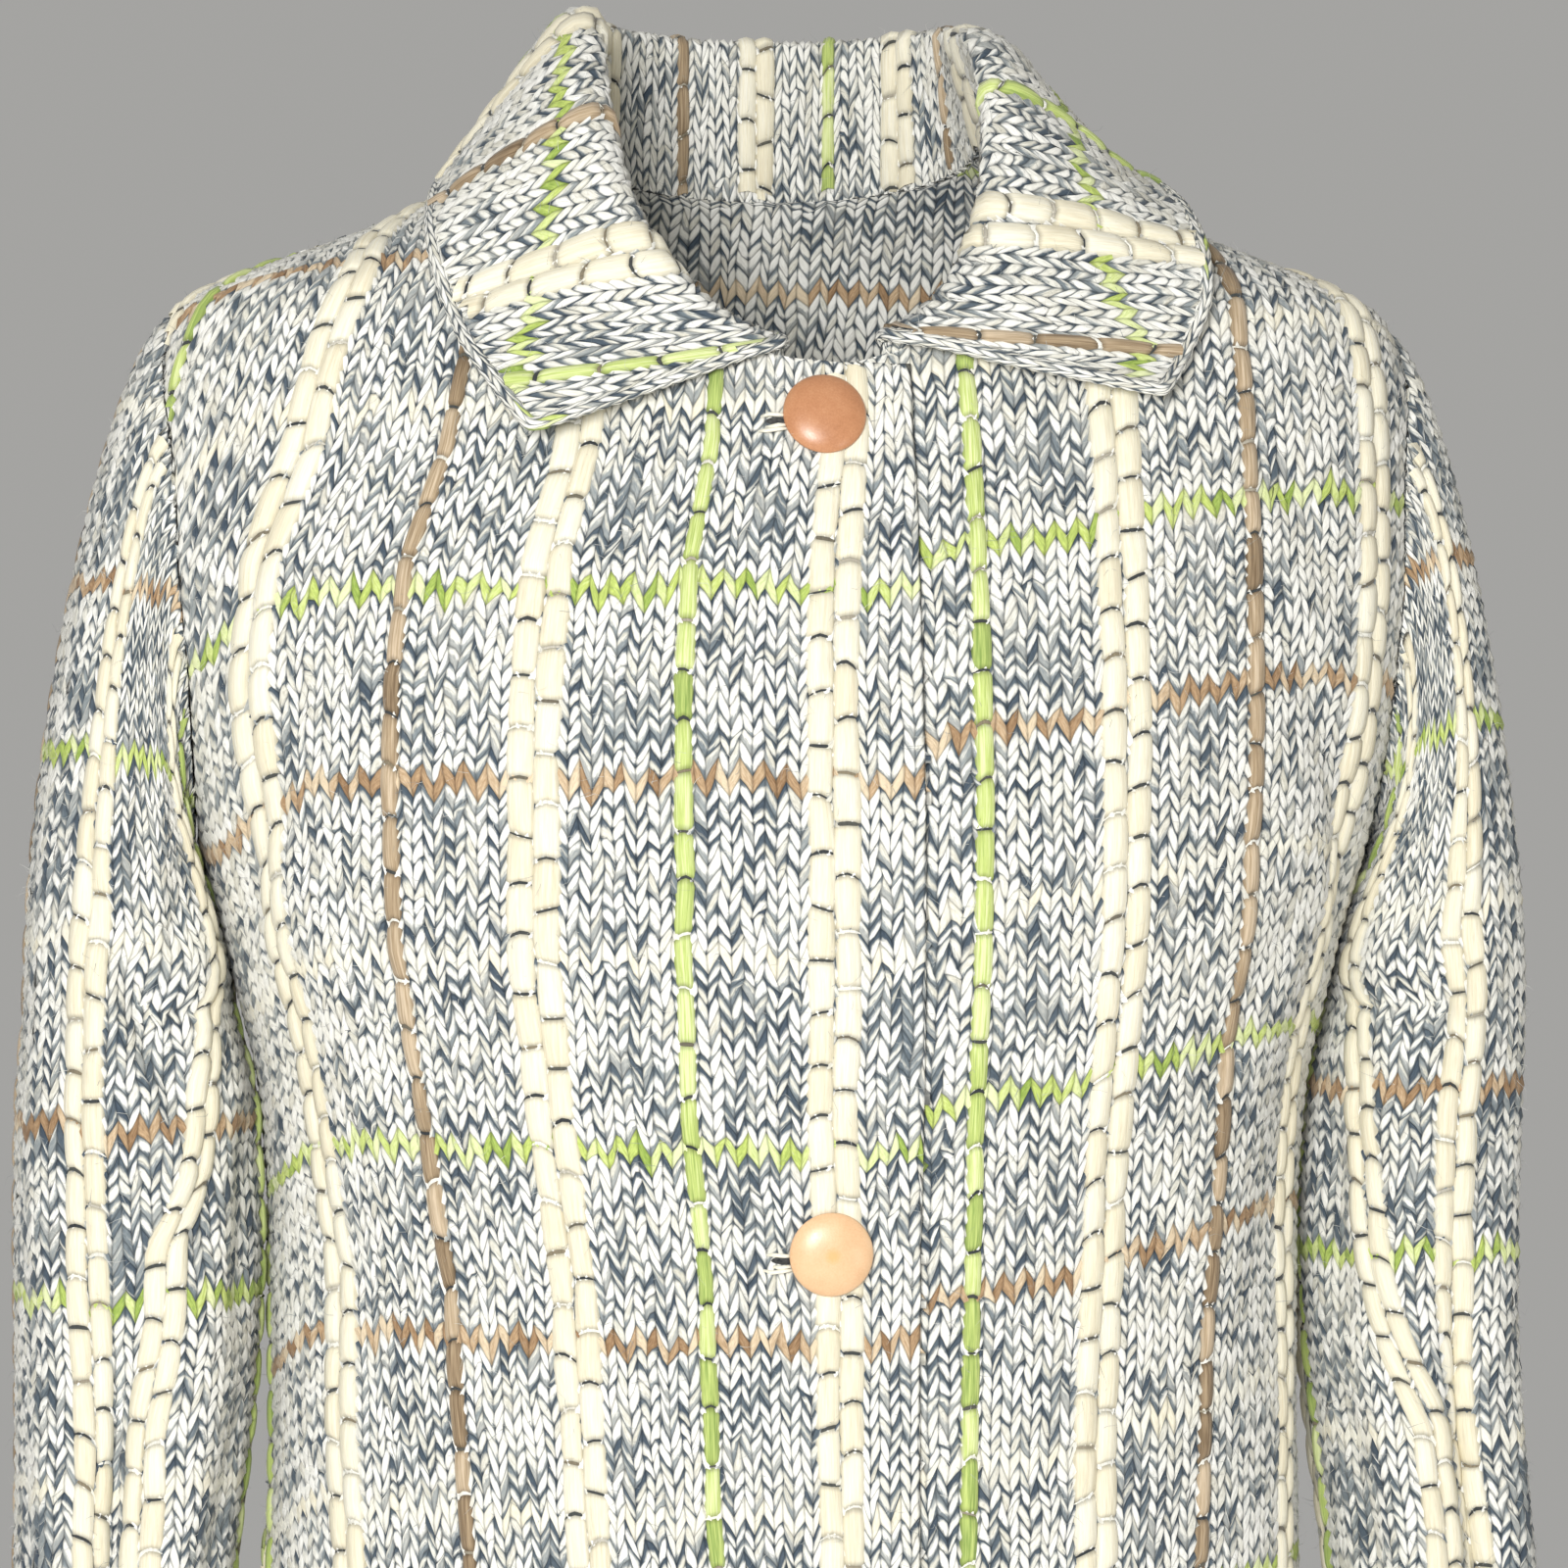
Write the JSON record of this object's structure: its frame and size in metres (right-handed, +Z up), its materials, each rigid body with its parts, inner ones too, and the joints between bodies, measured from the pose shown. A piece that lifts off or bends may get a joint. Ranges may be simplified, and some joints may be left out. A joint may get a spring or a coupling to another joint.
{
  "type": "mohair coat",
  "caption": "Worn single-breasted coat of marled mohair knit with a windowpane of raised and coloured lines, a turned-down collar, long sleeves and domed buttons.",
  "frame": {"origin": "midway between the two points where the shoulder seams meet the collar, where the coat rests on its wearer", "axes": "+Z up, -Y the coat's front, +X the wearer's left"},
  "size_m": [0.556, 0.306, 0.9324],
  "materials": {
    "marled_knit": "fuzzy marled knit",
    "marled_collar_knit": "fuzzy marled knit, sideways",
    "tan_button": "soft satin"
  },
  "bodies": {
    "root": {"front_right": "marled_knit", "front_left": "marled_knit", "back": "marled_knit", "sleeve_right": "marled_knit", "sleeve_left": "marled_knit", "collar": "marled_collar_knit", "button_top": "tan_button", "button_middle": "tan_button", "button_bottom": "tan_button"}
  },
  "joints": []
}
